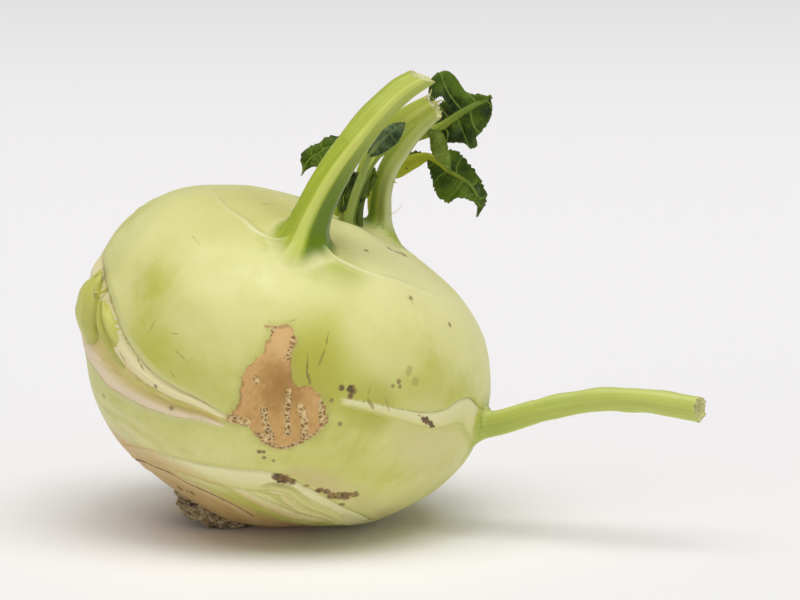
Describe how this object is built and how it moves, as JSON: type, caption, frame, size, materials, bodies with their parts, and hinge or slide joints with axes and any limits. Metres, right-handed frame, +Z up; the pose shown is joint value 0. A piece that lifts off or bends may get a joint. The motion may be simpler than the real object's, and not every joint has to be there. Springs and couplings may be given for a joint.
{
  "type": "kohlrabi",
  "caption": "Fresh pale green kohlrabi lying tilted, with a corky root end, cut leaf stalks and a tuft of young leaves.",
  "frame": {"origin": "on the floor plane, in the middle of the small flat spot that the bulb rests on", "axes": "+Z up; the bulb's axis leans 25 degrees from +Z towards +X, and the long side stalk points towards +X; -Y is the side with the brown cork patch"},
  "size_m": [0.1418, 0.0954, 0.1073],
  "materials": {
    "skin": "waxy pale green skin with tan cork patches and pale leaf scars",
    "cork": "rough dry brown cork",
    "stalk": "smooth waxy green leaf stalk with fine lengthwise ribs",
    "stub": "torn yellow-green stalk flesh with pale dry edges",
    "leaf": "matte dark green leaf with pale veins",
    "heart_leaf": "matte grey-green young leaf"
  },
  "bodies": {
    "root": {"bulb": "skin", "root_stub": "cork", "front_stalk": "stalk", "back_stalk": "stalk", "middle_stalk": "stalk", "side_stalk": "stalk", "left_stub": "stub", "left_inner_stub": "stub", "under_stub": "stub", "upper_leaf": "leaf", "lower_leaf": "leaf", "left_leaf": "leaf", "curled_leaf": "heart_leaf", "heart_leaf_1": "heart_leaf", "heart_leaf_2": "heart_leaf", "heart_leaf_3": "heart_leaf"}
  },
  "joints": []
}
